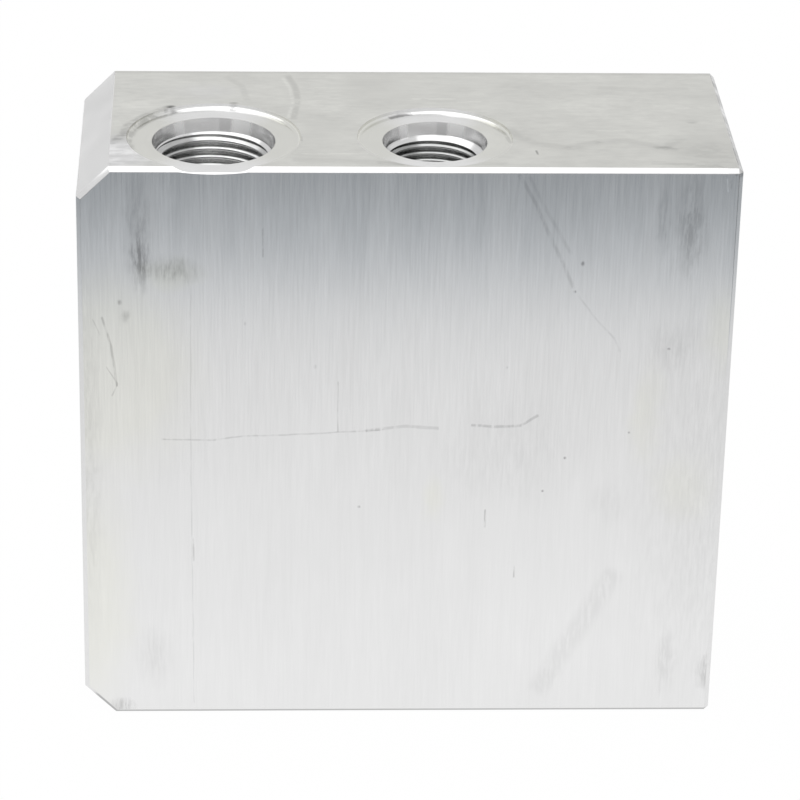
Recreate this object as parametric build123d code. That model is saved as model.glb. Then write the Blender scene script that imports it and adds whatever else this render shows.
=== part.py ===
from build123d import *

import os
from dataclasses import dataclass
from math import radians, tan

# Hydraulic manifold block, cut from aluminium bar. All lengths are millimetres.
# The origin is the centre of the bottom face: +X runs to the right along the width,
# +Y from the front face to the rear face, and +Z up to the face with the first two ports.

# Block
WIDTH = 152.4
DEPTH = 61.0
HEIGHT = 144.0
CORNER_CHAMFER = 7.4  # both left corners, at 45 degrees, through the full depth
EDGE_BREAK = 1.0  # 45 degree break on every other outer edge

# Ports: two on the top face, and their two outlets on the rear face
LARGE_PORT_FROM_LEFT = 31.3
SMALL_PORT_FROM_LEFT = 82.6
TOP_PORT_SETBACK = 19.0  # from the front face to the axes of the top ports
OUTLET_HEIGHT = HEIGHT / 2
SPOTFACE_DEPTH = 1.15
SEAL_HALF_ANGLE = 12.0  # of the tapered seat that the O-ring is squeezed into
DRILL_HALF_ANGLE = 59.0  # of a 118 degree drill point
TOOL_OVERRUN = 5.0  # how far a cutter starts outside the face that it cuts

# Filed dip in the front top edge, where the large spotface runs out through it
RUNOUT_WIDTH = 16.0
RUNOUT_DEPTH = 0.39  # below the plane of the edge break, at the middle
RUNOUT_LENGTH = 6.0  # of the cutter, across the edge

# Tapped holes that the block is bolted down by, on the corners of a rectangle
MOUNT_SPACING_X = 114.3
MOUNT_SPACING_Z = 101.6
MOUNT_THREAD_RADIUS = 4.7625  # major radius of a 3/8 inch thread
MOUNT_DRILL_RADIUS = 3.97
MOUNT_THREAD_LENGTH = 19.0
MOUNT_DRILL_DEPTH = 24.0
MOUNT_COUNTERSINK = 0.6  # width and depth of the break at the mouth


@dataclass(frozen=True)
class PortSize:
    """A straight-thread port that seals on an O-ring in a tapered seat."""

    spotface_radius: float
    spotface_corner: float  # radius between the wall of the spotface and its floor
    mouth_radius: float
    seat_depth: float
    thread_radius: float  # major radius of the internal thread
    thread_length: float
    flow_radius: float

    @property
    def seat_radius(self):
        """Radius at the bottom of the tapered seat."""
        return self.mouth_radius - self.seat_depth * tan(radians(SEAL_HALF_ANGLE))


# 1 1/16 inch and 7/8 inch threads
LARGE_PORT = PortSize(20.2, 0.9, 14.3, 3.2, 13.494, 19.0, 9.0)
SMALL_PORT = PortSize(18.05, 0.6, 12.2, 3.05, 11.112, 16.7, 7.0)


def outline_face(outline):
    """Flat face inside an outline of (radius, height) points."""
    return make_face(Polyline(*outline, close=True))


def revolved_cutter(profile):
    """Turn a flat face of radius and height round the Z axis into a solid cutter."""
    return revolve(Plane.XZ * profile, Axis.Z)


def point_length(radius):
    """Length of the conical point of a drill of this radius."""
    return radius / tan(radians(DRILL_HALF_ANGLE))


def port_cutter(size, flow_depth):
    """Port cavity below Z = 0: spotface, tapered seat, lead-in, thread bore and flow drilling."""
    seat_top = -SPOTFACE_DEPTH
    seat_bottom = seat_top - size.seat_depth
    thread_top = seat_bottom - (size.seat_radius - size.thread_radius)
    thread_bottom = thread_top - size.thread_length
    shoulder_bottom = thread_bottom - point_length(size.thread_radius - size.flow_radius)
    outline = [
        (0, TOOL_OVERRUN),
        (size.spotface_radius, TOOL_OVERRUN),
        (size.spotface_radius, seat_top),
        (size.mouth_radius, seat_top),
        (size.seat_radius, seat_bottom),
        (size.thread_radius, thread_top),
        (size.thread_radius, thread_bottom),
        (size.flow_radius, shoulder_bottom),
        (size.flow_radius, -flow_depth),
        (0, -flow_depth - point_length(size.flow_radius)),
    ]
    profile = outline_face(outline)
    corner = profile.vertices().sort_by_distance((size.spotface_radius, seat_top))[0]
    return revolved_cutter(fillet(corner, size.spotface_corner))


def mount_hole_cutter():
    """Blind tapped hole below Z = 0: countersunk mouth, thread bore and the drill's end."""
    mouth_radius = MOUNT_THREAD_RADIUS + MOUNT_COUNTERSINK
    step = point_length(MOUNT_THREAD_RADIUS - MOUNT_DRILL_RADIUS)
    outline = [
        (0, TOOL_OVERRUN),
        (mouth_radius + TOOL_OVERRUN, TOOL_OVERRUN),
        (mouth_radius, 0),
        (MOUNT_THREAD_RADIUS, -MOUNT_COUNTERSINK),
        (MOUNT_THREAD_RADIUS, -MOUNT_THREAD_LENGTH),
        (MOUNT_DRILL_RADIUS, -MOUNT_THREAD_LENGTH - step),
        (MOUNT_DRILL_RADIUS, -MOUNT_DRILL_DEPTH),
        (0, -MOUNT_DRILL_DEPTH - point_length(MOUNT_DRILL_RADIUS)),
    ]
    return revolved_cutter(outline_face(outline))


def runout_cutter():
    """Shallow round-bottomed dip across the front top edge, centred on the large port."""
    half = RUNOUT_WIDTH / 2
    dip = ThreePointArc((-half, 0), (0, RUNOUT_DEPTH), (half, 0))
    outside = Polyline((half, 0), (half, -TOOL_OVERRUN), (-half, -TOOL_OVERRUN), (-half, 0))
    middle = (LARGE_PORT_FROM_LEFT - WIDTH / 2, (EDGE_BREAK - DEPTH) / 2, HEIGHT - EDGE_BREAK / 2)
    across_edge = Plane(origin=middle, x_dir=(1, 0, 0), z_dir=(0, 1, 1))
    return extrude(across_edge * make_face([dip, outside]), RUNOUT_LENGTH / 2, both=True)


def block_blank():
    """Sawn and milled bar: left corners chamfered, every other outer edge broken."""
    right, left, top = WIDTH / 2, -WIDTH / 2, HEIGHT
    outline = Polyline(
        (left + CORNER_CHAMFER, 0),
        (right, 0),
        (right, top),
        (left + CORNER_CHAMFER, top),
        (left, top - CORNER_CHAMFER),
        (left, CORNER_CHAMFER),
        close=True,
    )
    front_plane = Plane.XZ.offset(DEPTH / 2)
    blank = extrude(front_plane * make_face(outline), -DEPTH)
    faces_by_depth = blank.faces().sort_by(Axis.Y)
    end_edges = faces_by_depth[0].edges() + faces_by_depth[-1].edges()
    right_edges = blank.edges().filter_by(Axis.Y).group_by(Axis.X)[-1]
    return chamfer(end_edges + right_edges, EDGE_BREAK)


def on_top_face(from_left):
    """Place on the top face, with +Z pointing out of it."""
    return Pos(from_left - WIDTH / 2, TOP_PORT_SETBACK - DEPTH / 2, HEIGHT)


def on_rear_face(across, height):
    """Place on the rear face, with the cutter's +Z pointing out of it."""
    return Pos(across, DEPTH / 2, height) * Rot(X=-90)


def port_pair_cutters(size, from_left):
    """A top port and its rear outlet, whose two flow drillings meet at a right angle."""
    down_to_outlet = HEIGHT - OUTLET_HEIGHT + size.flow_radius
    back_to_gallery = DEPTH - TOP_PORT_SETBACK + size.flow_radius / 2
    top_port = on_top_face(from_left) * port_cutter(size, down_to_outlet)
    outlet = on_rear_face(from_left - WIDTH / 2, OUTLET_HEIGHT) * port_cutter(size, back_to_gallery)
    return [top_port, outlet]


def mount_hole_cutters():
    """The four tapped holes on the rear face."""
    cutter = mount_hole_cutter()
    cutters = []
    for side in (-1, 1):
        for level in (-1, 1):
            across = side * MOUNT_SPACING_X / 2
            height = HEIGHT / 2 + level * MOUNT_SPACING_Z / 2
            cutters.append(on_rear_face(across, height) * cutter)
    return cutters


def manifold_block():
    """The whole block, one solid."""
    block = block_blank()
    block -= port_pair_cutters(LARGE_PORT, LARGE_PORT_FROM_LEFT)
    block -= port_pair_cutters(SMALL_PORT, SMALL_PORT_FROM_LEFT)
    block -= runout_cutter()
    block -= mount_hole_cutters()
    return block


os.makedirs("parts", exist_ok=True)
export_step(manifold_block(), "parts/manifold_block.step")
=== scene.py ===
"""Looks of a bare aluminium hydraulic manifold block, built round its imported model."""

import logging
import math
from abc import ABC, abstractmethod
from dataclasses import dataclass, field
from enum import Enum

import bmesh
import bpy
from mathutils import Matrix, Vector


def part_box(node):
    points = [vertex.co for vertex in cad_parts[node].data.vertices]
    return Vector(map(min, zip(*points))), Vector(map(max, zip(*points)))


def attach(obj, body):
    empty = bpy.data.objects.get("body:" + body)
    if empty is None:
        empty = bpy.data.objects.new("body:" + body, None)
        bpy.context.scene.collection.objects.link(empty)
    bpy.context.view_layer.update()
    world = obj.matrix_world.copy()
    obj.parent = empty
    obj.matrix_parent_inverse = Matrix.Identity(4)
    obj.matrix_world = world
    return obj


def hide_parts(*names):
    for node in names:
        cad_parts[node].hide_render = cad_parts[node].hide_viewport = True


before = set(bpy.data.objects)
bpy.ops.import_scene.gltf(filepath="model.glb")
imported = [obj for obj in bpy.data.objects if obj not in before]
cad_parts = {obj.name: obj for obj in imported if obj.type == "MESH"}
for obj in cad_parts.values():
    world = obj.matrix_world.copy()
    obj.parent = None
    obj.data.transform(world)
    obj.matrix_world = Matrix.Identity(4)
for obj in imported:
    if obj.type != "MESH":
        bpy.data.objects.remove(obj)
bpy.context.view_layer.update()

CAD_NODE = "manifold_block"
BODY = "root"
MM = 0.001

log = logging.getLogger("manifold_block")

Point = tuple[float, float, float]
Colour = tuple[float, float, float]
Spot = tuple[float, float]
Fade = tuple[float, float, float, float]  # start, end, level before the start, level past the end
Outline = list[Spot]
Look = tuple[object, object, object]  # colour, roughness and normal, as sockets, Values or constants

LOW, HIGH = (Vector(corner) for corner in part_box(CAD_NODE))

# Axes of the ports, in millimetres: across from the left face, and back from the front face
LARGE_ACROSS = 31.3
SMALL_ACROSS = 82.6
SETBACK = 19.0


# ---------------------------------------------------------------- shader maths


@dataclass(frozen=True)
class Pattern:
    """A noise: its waves per unit of length along each axis, its seed, and its finer layers."""

    waves: Point
    seed: float
    detail: float = 2.0
    rough: float = 0.5

    @property
    def start(self) -> Point:
        """Where the noise starts, which differs from seed to seed."""
        return self.seed, -self.seed, self.seed * 0.7


class Value:
    """A number that varies over a surface: an output socket with arithmetic."""

    def __init__(self, graph: "Graph", socket: bpy.types.NodeSocket) -> None:
        """Wrap a socket.

        Args:
            graph: The graph that the socket belongs to.
            socket: The output socket that gives the number.
        """
        self.graph = graph
        self.socket = socket

    def _math(self, operation: str, *operands: "Value | float") -> "Value":
        """Add one Math node.

        Args:
            operation: The node's operation.
            operands: Its inputs, in order.

        Returns:
            The node's result.
        """
        node = self.graph.node("ShaderNodeMath", {"operation": operation}, *operands)
        return Value(self.graph, node.outputs[0])

    def __add__(self, other: "Value | float") -> "Value":
        """Sum."""
        return self._math("ADD", self, other)

    __radd__ = __add__

    def __sub__(self, other: "Value | float") -> "Value":
        """Difference."""
        return self._math("SUBTRACT", self, other)

    def __rsub__(self, other: float) -> "Value":
        """Difference from a number."""
        return self._math("SUBTRACT", other, self)

    def __mul__(self, other: "Value | float") -> "Value":
        """Product."""
        return self._math("MULTIPLY", self, other)

    __rmul__ = __mul__

    def __truediv__(self, other: "Value | float") -> "Value":
        """Quotient."""
        return self._math("DIVIDE", self, other)

    def __rtruediv__(self, other: float) -> "Value":
        """Quotient of a number."""
        return self._math("DIVIDE", other, self)

    def __abs__(self) -> "Value":
        """Size without sign."""
        return self._math("ABSOLUTE", self)

    def root(self) -> "Value":
        """Square root."""
        return self._math("SQRT", self)

    def low(self, other: "Value | float") -> "Value":
        """The smaller of the two."""
        return self._math("MINIMUM", self, other)

    def high(self, other: "Value | float") -> "Value":
        """The larger of the two."""
        return self._math("MAXIMUM", self, other)

    def angle_from(self, across: "Value") -> "Value":
        """Angle in radians of the direction (across, self)."""
        return self._math("ARCTAN2", self, across)

    def step(self, start: float, end: float, to_start: float = 0.0, to_end: float = 1.0) -> "Value":
        """Smooth change from one level to another.

        Args:
            start: Where the change starts.
            end: Where it ends, which may be lower than start.
            to_start: The level before start.
            to_end: The level past end.

        Returns:
            The changed value.
        """
        settings = {"interpolation_type": "SMOOTHSTEP", "clamp": True}
        node = self.graph.node("ShaderNodeMapRange", settings, self, start, end, to_start, to_end)
        return Value(self.graph, node.outputs[0])

    def band(self, half_width: float, soft: float) -> "Value":
        """1 where the value is within half_width of zero, fading to 0 over soft."""
        return abs(self).step(half_width + soft, half_width)

    def swing(self, size: float) -> "Value":
        """A noise about 0.5 as a change about 0, of half the size either way."""
        return size * (self - 0.5)


class Graph:
    """The nodes of one material or world."""

    def __init__(self, tree: bpy.types.NodeTree) -> None:
        """Start from an empty tree.

        Args:
            tree: The node tree to fill.
        """
        self.tree = tree
        tree.nodes.clear()

    def node(
        self, kind: str, settings: dict | None = None, *inputs: object, **named: object
    ) -> bpy.types.Node:
        """Add one node.

        Args:
            kind: The node's type.
            settings: Its properties, set before its inputs.
            inputs: Values or links of its sockets, in order. None leaves a socket alone.
            named: Values or links of sockets given by name, with _ for a space.

        Returns:
            The new node.
        """
        node = self.tree.nodes.new(kind)
        for name, value in (settings or {}).items():
            setattr(node, name, value)
        pairs = list(zip(node.inputs, inputs))
        pairs += [(node.inputs[name.replace("_", " ")], value) for name, value in named.items()]
        for socket, value in pairs:
            if value is not None:
                self.feed(socket, value)
        return node

    def feed(self, socket: bpy.types.NodeSocket, value: object) -> None:
        """Link a socket, or set it if the value is constant.

        Args:
            socket: The input socket.
            value: A Value, an output socket, a number, a vector or a colour.
        """
        if isinstance(value, Value):
            value = value.socket
        if isinstance(value, bpy.types.NodeSocket):
            self.tree.links.new(value, socket)
        elif socket.type == "RGBA" and len(value) == 3:
            socket.default_value = (*value, 1.0)
        else:
            socket.default_value = value

    def place(self) -> bpy.types.NodeSocket:
        """The point on the surface, in the frame's own metres."""
        return self.node("ShaderNodeTexCoord").outputs["Object"]

    def split(self, vector: bpy.types.NodeSocket, scale: float = 1.0) -> tuple[Value, Value, Value]:
        """The three parts of a vector, each times scale."""
        outputs = self.node("ShaderNodeSeparateXYZ", None, vector).outputs
        return tuple(Value(self, output) * scale for output in outputs)

    def on_block(self) -> tuple[Value, Value, Value]:
        """Millimetres across from the block's left face, back from its front face and down from its top."""
        x, y, z = self.split(self.place(), 1 / MM)
        return x - LOW.x / MM, y - LOW.y / MM, HIGH.z / MM - z

    def join(self, *parts: "Value | float") -> bpy.types.NodeSocket:
        """A vector from its parts."""
        return self.node("ShaderNodeCombineXYZ", None, *parts).outputs[0]

    def dot(self, vector: bpy.types.NodeSocket, weights: Point) -> Value:
        """A vector's parts, each times its weight, added up."""
        node = self.node("ShaderNodeVectorMath", {"operation": "DOT_PRODUCT"}, vector, weights)
        return Value(self, node.outputs["Value"])

    def distance(self, vector: bpy.types.NodeSocket, middle: Point, reach: Point) -> Value:
        """Distance from a point, where 1 is as far as the reach along each axis.

        Args:
            vector: The place.
            middle: The point.
            reach: How far 1 is along each axis.

        Returns:
            The distance.
        """
        scale = tuple(1 / part for part in reach)
        shift = tuple(-part / size for part, size in zip(middle, reach))
        moved = self.node("ShaderNodeVectorMath", {"operation": "MULTIPLY_ADD"}, vector, scale, shift)
        length = self.node("ShaderNodeVectorMath", {"operation": "LENGTH"}, moved.outputs[0])
        return Value(self, length.outputs["Value"])

    def noise(self, pattern: Pattern, place: bpy.types.NodeSocket | None = None) -> Value:
        """Noise about 0.5.

        Args:
            pattern: Its waves, its seed and its layers.
            place: Where it's read, if not at the point on the surface in metres.

        Returns:
            The noise.
        """
        place = place or self.place()
        spot = self.node("ShaderNodeMapping", None, place, pattern.start, None, pattern.waves).outputs[0]
        settings = {"noise_dimensions": "3D", "normalize": True}
        layers = {"Scale": 1.0, "Detail": pattern.detail, "Roughness": pattern.rough}
        return Value(self, self.node("ShaderNodeTexNoise", settings, Vector=spot, **layers).outputs[0])

    def blend(self, factor: Value | float, first: object, second: object) -> bpy.types.NodeSocket:
        """Mix two colours.

        Args:
            factor: How much of the second shows.
            first: The colour at 0.
            second: The colour at 1.

        Returns:
            The mixed colour.
        """
        node = self.node("ShaderNodeMix", {"data_type": "RGBA", "clamp_factor": True})
        self.feed(node.inputs[0], factor)
        self.feed(node.inputs[6], first)
        self.feed(node.inputs[7], second)
        return node.outputs[2]

    def scaled(self, colour: object, factor: Value) -> bpy.types.NodeSocket:
        """A colour times a number."""
        node = self.node("ShaderNodeVectorMath", {"operation": "SCALE"}, colour, Scale=factor)
        return node.outputs[0]

    def bump(self, height: Value, depth: float) -> bpy.types.NodeSocket:
        """A normal bent by a height, where a height of 1 is the depth in metres."""
        return self.node("ShaderNodeBump", None, Strength=1.0, Distance=depth, Height=height).outputs[0]


def new_material(name: str) -> tuple[bpy.types.Material, Graph]:
    """Make an empty material.

    Args:
        name: The material's name.

    Returns:
        The material and its graph.
    """
    material = bpy.data.materials.new(name)
    material.use_nodes = True
    return material, Graph(material.node_tree)


# ----------------------------------------------------------------------- wear


# How the grain of a face breaks up its lines and its smudges
LINE_BREAKS: Fade = (0.38, 0.54, 0.25, 1.15)
SMUDGE_BREAKS: Fade = (0.34, 0.66, 0.35, 1.65)

# From where to where a smudge fades in, as parts of its reach
SMUDGE_FADE: Spot = (1.0, 0.1)


@dataclass(frozen=True)
class Wander:
    """How marks stray from their drawn place: a noise for each way, and its reach in millimetres."""

    waves: float
    reach: float
    seeds: Spot = (1.7, 9.1)

    def place(self, graph: Graph, across: Value, along: Value) -> bpy.types.NodeSocket:
        """A place moved about a little, so that marks aren't drawn with a ruler.

        Args:
            graph: The material's graph.
            across: The place across the face, in millimetres.
            along: The place along it, in millimetres.

        Returns:
            The moved place, as (across, along, 1).
        """
        waves = (self.waves, self.waves, self.waves)
        aside, onward = (graph.noise(Pattern(waves, seed)).swing(self.reach) for seed in self.seeds)
        return graph.join(across + aside, along + onward, 1.0)


CRISP = Wander(140.0, 0.5)
LOOSE = Wander(260.0, 3.0)
WIDE = Wander(90.0, 9.0)


@dataclass(frozen=True)
class Scratch:
    """A thin line through points of a face, in millimetres. A negative darkness is a light line."""

    points: tuple[Spot, ...]
    darkness: float
    half_width: float = 0.07
    softness: float = 0.16

    def mask(self, graph: Graph, spot: bpy.types.NodeSocket) -> Value:
        """Where the line is.

        Args:
            graph: The material's graph.
            spot: The place on the face, as (across, along, 1).

        Returns:
            1 on the line and 0 off it.
        """
        parts = [self._part(graph, spot, *ends) for ends in zip(self.points, self.points[1:])]
        line = parts[0]
        for part in parts[1:]:
            line = line.high(part)
        return line

    def _part(self, graph: Graph, spot: bpy.types.NodeSocket, start: Spot, end: Spot) -> Value:
        """One straight part of the line.

        Args:
            graph: The material's graph.
            spot: The place on the face, as (across, along, 1).
            start: Where the part starts.
            end: Where it ends.

        Returns:
            1 on the part and 0 off it.
        """
        run, rise = end[0] - start[0], end[1] - start[1]
        length = math.hypot(run, rise)
        run, rise = run / length, rise / length
        middle = ((start[0] + end[0]) / 2, (start[1] + end[1]) / 2)
        along = graph.dot(spot, (run, rise, -run * middle[0] - rise * middle[1]))
        aside = graph.dot(spot, (-rise, run, rise * middle[0] - run * middle[1]))
        return aside.band(self.half_width, self.softness) * along.band(length / 2, self.softness)


@dataclass(frozen=True)
class Smudge:
    """A soft patch of a face, in millimetres. A negative darkness is a light patch."""

    middle: Spot
    reach: Spot
    darkness: float

    def mask(self, graph: Graph, spot: bpy.types.NodeSocket) -> Value:
        """Where the patch is.

        Args:
            graph: The material's graph.
            spot: The place on the face, as (across, along, 1).

        Returns:
            1 in the middle, fading to 0 at the reach.
        """
        return graph.distance(spot, (*self.middle, 1.0), (*self.reach, 1.0)).step(*SMUDGE_FADE)


@dataclass(frozen=True)
class Wear:
    """The marks of one face, each at its own place."""

    scratches: tuple[Scratch, ...]
    smudges: tuple[Smudge, ...]
    specks: tuple[Smudge, ...] = ()
    stains: tuple[Smudge, ...] = ()

    def darkness(self, graph: Graph, across: Value, along: Value, grain: Value) -> Value:
        """How much darker the marks make the face.

        Args:
            graph: The material's graph.
            across: The place across the face, in millimetres.
            along: The place along it, in millimetres.
            grain: What breaks the smudges up, about 0.5.

        Returns:
            The darkness, where 1 is black.
        """
        crisp, loose = CRISP.place(graph, across, along), LOOSE.place(graph, across, along)
        lines = sum(mark.mask(graph, crisp) * mark.darkness for mark in self.scratches + self.specks)
        clouds = sum(mark.mask(graph, loose) * mark.darkness for mark in self.smudges)
        return lines * grain.step(*LINE_BREAKS) + clouds * grain.step(*SMUDGE_BREAKS)

    def stain(self, graph: Graph, across: Value, along: Value) -> Value:
        """How stained the face is, from 0 to 1.

        Args:
            graph: The material's graph.
            across: The place across the face, in millimetres.
            along: The place along it, in millimetres.

        Returns:
            The strength of the stain.
        """
        wide = WIDE.place(graph, across, along)
        return sum(mark.mask(graph, wide) * mark.darkness for mark in self.stains).low(1.0)


# In millimetres, across from the left face and down from the top face
FRONT_WEAR = Wear(
    scratches=(
        Scratch(
            ((19.0, 69.0), (31.0, 69.3), (38.0, 68.1), (51.5, 67.8), (60.0, 67.2), (71.0, 66.6)),
            0.15, 0.1, 0.22,
        ),
        Scratch(((66.0, 66.9), (76.0, 65.6), (84.0, 66.2)), 0.13, 0.2, 0.4),
        Scratch(((92.0, 65.3), (97.0, 65.7), (103.5, 65.4), (107.4, 62.8)), 0.18, 0.16, 0.35),
        Scratch(((5.5, 37.5), (7.5, 44.7), (8.2, 49.8), (8.7, 55.0)), 0.22, 0.12, 0.3),
        Scratch(((6.4, 50.2), (8.9, 54.5), (7.6, 57.6)), 0.16),
        Scratch(((3.4, 38.0), (5.0, 42.0)), 0.10),
        Scratch(((26.0, 30.0), (25.9, 69.0), (26.4, 141.0)), 0.09),
        Scratch(((26.4, 95.5), (26.5, 101.5)), 0.20),
        Scratch(((60.3, 54.0), (60.4, 67.0)), 0.18),
        Scratch(((42.6, 15.0), (42.6, 22.0)), 0.20),
        Scratch(((101.0, 1.6), (105.2, 9.0), (107.9, 15.4), (110.3, 20.4), (114.4, 29.5)), 0.13, 0.12, 0.6),
        Scratch(((103.4, 2.2), (107.6, 10.4), (113.5, 21.0)), 0.08, 0.1, 0.6),
        Scratch(((115.8, 32.0), (120.3, 38.0), (124.5, 42.5), (126.0, 46.0)), 0.08, 0.1, 0.3),
        Scratch(((95.8, 88.0), (95.8, 92.5)), 0.22, 0.1, 0.2),
        Scratch(((103.2, 103.3), (103.2, 106.2)), 0.20, 0.1, 0.2),
        Scratch(((127.0, 106.0), (110.5, 137.0)), 0.06, 0.8, 3.0),
        Scratch(((148.6, 2.4), (149.0, 5.4)), -0.25, 0.1, 0.2),
        Scratch(((149.5, 2.8), (149.7, 4.6)), 0.25, 0.1, 0.2),
    ),
    smudges=(
        Smudge((14.0, 16.0), (4.2, 19.0), 0.15),
        Smudge((14.4, 23.0), (3.2, 10.0), 0.23),
        Smudge((21.8, 25.4), (8.5, 4.6), 0.20),
        Smudge((1.0, 70.0), (6.0, 75.0), 0.07),
        Smudge((150.0, 85.0), (28.0, 85.0), 0.045),
        Smudge((11.0, 37.0), (1.9, 2.2), 0.16),
        Smudge((134.5, 13.0), (2.6, 13.0), 0.12),
        Smudge((141.0, 14.0), (5.0, 18.0), 0.20),
        Smudge((138.0, 45.0), (9.0, 9.0), 0.06),
        Smudge((100.0, 72.0), (26.0, 20.0), 0.04),
        Smudge((17.0, 128.0), (6.0, 11.0), 0.06),
        Smudge((141.0, 130.0), (3.5, 13.0), 0.06),
        Smudge((151.0, 133.0), (3.5, 6.0), 0.16),
        Smudge((9.0, 142.0), (4.0, 3.0), 0.16),
        Smudge((21.0, 6.0), (3.4, 8.0), -0.05),
        Smudge((125.5, 86.0), (7.0, 8.0), 0.04),
    ),
    specks=(
        Smudge((9.6, 33.7), (0.8, 1.0), 0.30),
        Smudge((116.4, 23.5), (0.7, 0.9), 0.42),
        Smudge((114.8, 30.7), (0.55, 0.55), 0.55),
        Smudge((137.5, 45.3), (0.6, 0.5), 0.35),
        Smudge((114.3, 74.0), (0.5, 0.5), 0.45),
        Smudge((129.2, 67.3), (0.4, 0.4), 0.35),
        Smudge((99.7, 50.3), (0.5, 0.5), 0.22),
        Smudge((65.7, 87.1), (0.5, 0.5), 0.40),
        Smudge((109.2, 82.8), (0.45, 0.45), 0.40),
        Smudge((38.6, 39.0), (0.6, 0.7), 0.12),
        Smudge((55.0, 50.0), (0.6, 0.9), 0.12),
        Smudge((150.9, 0.9), (1.0, 0.9), 0.55),
    ),
    stains=(
        Smudge((5.0, 52.0), (30.0, 34.0), 1.7),
        Smudge((2.0, 112.0), (14.0, 42.0), 1.4),
        Smudge((21.8, 26.0), (9.0, 5.0), 1.0),
        Smudge((150.0, 41.0), (7.0, 16.0), 0.9),
        Smudge((133.0, 62.0), (6.0, 18.0), 0.9),
        Smudge((83.0, 85.0), (4.0, 9.0), 0.9),
        Smudge((142.0, 82.0), (11.0, 13.0), 0.8),
    ),
)

# In millimetres, across from the left face and back from the front face
TOP_WEAR = Wear(
    scratches=(
        Scratch(((48.8, 57.5), (50.7, 50.0), (51.2, 42.0), (50.0, 30.0)), 0.13, 0.3, 0.9),
        Scratch(((47.6, 56.0), (49.6, 48.0), (50.0, 40.0), (48.9, 31.0)), -0.08, 0.15, 0.6),
        Scratch(((34.5, 56.0), (37.9, 50.6), (39.3, 40.4)), 0.08, 0.3, 1.0),
        Scratch(((7.9, 14.8), (10.4, 20.0), (11.4, 25.8), (15.2, 31.6), (20.4, 36.8)), 0.22, 0.4, 1.2),
        Scratch(((51.4, 16.4), (51.4, 19.0)), 0.14, 0.25, 0.4),
        Scratch(((49.7, 8.6), (66.7, 8.8)), -0.08, 0.15, 0.5),
        Scratch(((50.0, 5.2), (62.0, 4.2), (74.0, 3.2)), 0.07, 0.6, 1.3),
        Scratch(((8.6, 3.7), (17.0, 3.5)), 0.10, 0.2, 0.6),
        Scratch(((78.6, 42.6), (88.6, 42.8)), -0.08, 0.12, 0.5),
        Scratch(((89.1, 40.9), (94.4, 41.0)), -0.07, 0.12, 0.5),
        Scratch(((100.3, 23.6), (102.3, 18.7), (106.2, 15.1), (112.5, 13.0), (120.7, 16.2)), 0.09, 0.5, 1.6),
        Scratch(((120.7, 16.2), (126.9, 17.4), (135.3, 13.0), (139.8, 18.6)), 0.08, 0.5, 1.6),
        Scratch(((120.5, 23.1), (127.0, 23.2)), -0.08, 0.15, 0.6),
        Scratch(((105.8, 8.6), (105.6, 10.9)), 0.40, 0.12, 0.25),
        Scratch(((124.0, 50.3), (134.0, 49.0), (144.5, 49.6)), 0.06, 0.4, 1.4),
        Scratch(((140.8, 37.6), (147.2, 37.9)), -0.06, 0.15, 0.7),
        Scratch(((89.0, 3.0), (98.0, 3.1)), 0.09, 0.4, 1.0),
        Scratch(((132.0, 4.0), (150.5, 1.7)), 0.10, 0.4, 1.2),
        Scratch(((69.0, 3.4), (76.0, 2.6)), 0.09, 0.3, 1.0),
        Scratch(((8.0, 59.6), (151.0, 59.6)), 0.09, 0.4, 1.2),
    ),
    smudges=(
        Smudge((9.0, 7.0), (17.0, 13.0), -0.15),
        Smudge((10.0, 40.0), (12.0, 20.0), -0.03),
        Smudge((9.4, 17.5), (4.5, 4.0), 0.14),
        Smudge((114.4, 12.6), (4.5, 1.6), 0.09),
        Smudge((136.0, 12.6), (5.0, 2.0), 0.13),
        Smudge((143.6, 29.2), (2.4, 1.8), 0.12),
        Smudge((146.0, 9.0), (16.0, 16.0), 0.11),
        Smudge((58.0, 44.0), (9.0, 22.0), -0.03),
        Smudge((70.0, 50.0), (14.0, 12.0), 0.05),
        Smudge((56.0, 22.0), (7.0, 16.0), 0.03),
        Smudge((125.0, 38.0), (20.0, 14.0), -0.02),
    ),
    specks=(
        Smudge((21.3, 37.0), (1.7, 1.5), 0.62),
        Smudge((36.0, 39.4), (1.6, 1.0), 0.40),
        Smudge((147.5, 59.2), (1.5, 0.8), 0.12),
    ),
    stains=(
        Smudge((8.0, 8.0), (15.0, 16.0), 1.3),
        Smudge((30.0, 46.0), (12.0, 8.0), 0.4),
    ),
)

# On the spotfaces of the top ports, in millimetres, across from the left face and back from the front face
PORT_WEAR = Wear(
    scratches=(
        Scratch(((12.0, 14.0), (11.4, 20.0), (12.3, 25.0), (15.3, 30.6), (20.2, 35.4)), 0.22, 0.5, 1.2),
        Scratch(((72.8, 33.2), (75.0, 34.5), (77.8, 35.5)), 0.45, 0.35, 0.5),
        Scratch(((97.0, 28.0), (99.4, 23.4), (100.2, 18.0)), 0.14, 0.2, 0.6),
    ),
    smudges=(
        Smudge((18.0, 30.0), (7.0, 6.0), 0.03),
        Smudge((96.0, 21.0), (6.0, 12.0), -0.03),
    ),
    specks=(
        Smudge((35.8, 38.2), (1.6, 0.9), 0.45),
        Smudge((21.9, 36.2), (1.4, 1.0), 0.35),
    ),
)


# ------------------------------------------------------------------- finishes


# Height of the fine lines and rings of a face
BRUSHED_HEIGHT = 0.003 * MM
TURNED_HEIGHT = 0.002 * MM


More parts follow.
